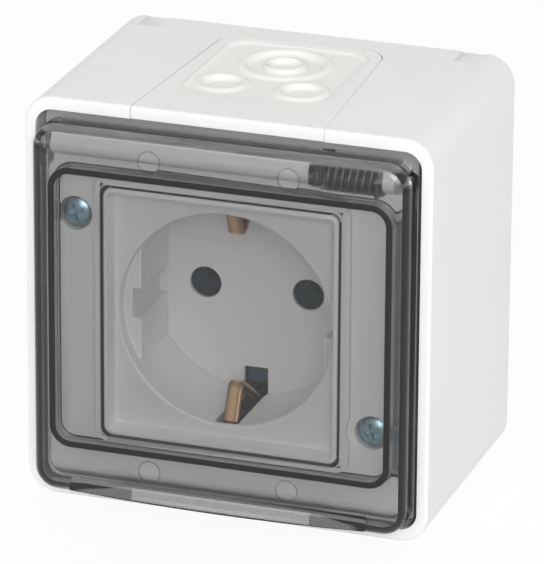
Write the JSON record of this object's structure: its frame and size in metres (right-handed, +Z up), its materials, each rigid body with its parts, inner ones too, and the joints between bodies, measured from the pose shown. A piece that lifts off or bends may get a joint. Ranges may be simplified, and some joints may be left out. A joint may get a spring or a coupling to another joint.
{
  "type": "outdoor weatherproof socket",
  "caption": "White surface-mounted outdoor power outlet: square box, round earthed socket well and a spring-closed smoke-grey lid hinged at the top.",
  "frame": {"origin": "centre of the flat back face that lies on the wall", "axes": "+X to the user's right, +Y into the wall, +Z up; the lid faces -Y"},
  "size_m": [0.075, 0.0552, 0.075],
  "materials": {
    "white_moulding": "semi-gloss moulded plastic, fine texture",
    "soft_membrane": "soft matte",
    "insert_moulding": "semi-gloss moulded plastic",
    "carrier_moulding": "matte thermoset",
    "smoke_lid": "clear smoke-grey plastic, glossy",
    "black_seal": "matte rubber",
    "zinc_screws": "blue zinc plated",
    "steel_pins": "plain steel",
    "spring_steel": "dark spring wire",
    "contact_brass": "stamped brass"
  },
  "bodies": {
    "base": {"housing": "white_moulding", "top_entry_plate": "white_moulding", "top_membrane": "soft_membrane", "bottom_entry_plate": "white_moulding", "bottom_membrane": "soft_membrane", "front_plate": "white_moulding", "front_plate_seal": "black_seal", "plate_screws": "zinc_screws", "socket_insert": "insert_moulding", "contact_carrier": "carrier_moulding", "live_contact": "contact_brass", "neutral_contact": "contact_brass", "earth_bracket": "contact_brass", "live_clamp": "contact_brass", "neutral_clamp": "contact_brass", "earth_clamp": "contact_brass", "terminal_screws": "zinc_screws", "carrier_screws": "zinc_screws", "lid_gasket": "black_seal", "left_hinge_pin": "steel_pins", "right_hinge_pin": "steel_pins", "lid_spring": "spring_steel"},
    "cover": {"lid": "smoke_lid"}
  },
  "joints": [
    {"name": "lid_hinge", "type": "hinge", "parent": "base", "child": "cover", "pos_m": [0, -0.0497, 0.0295], "axis": [-1, 0, 0], "range_deg": [0, 95], "stiffness_Nm_per_rad": 0.012, "springref_deg": -34.38, "deforming": ["lid_spring"]}
  ]
}
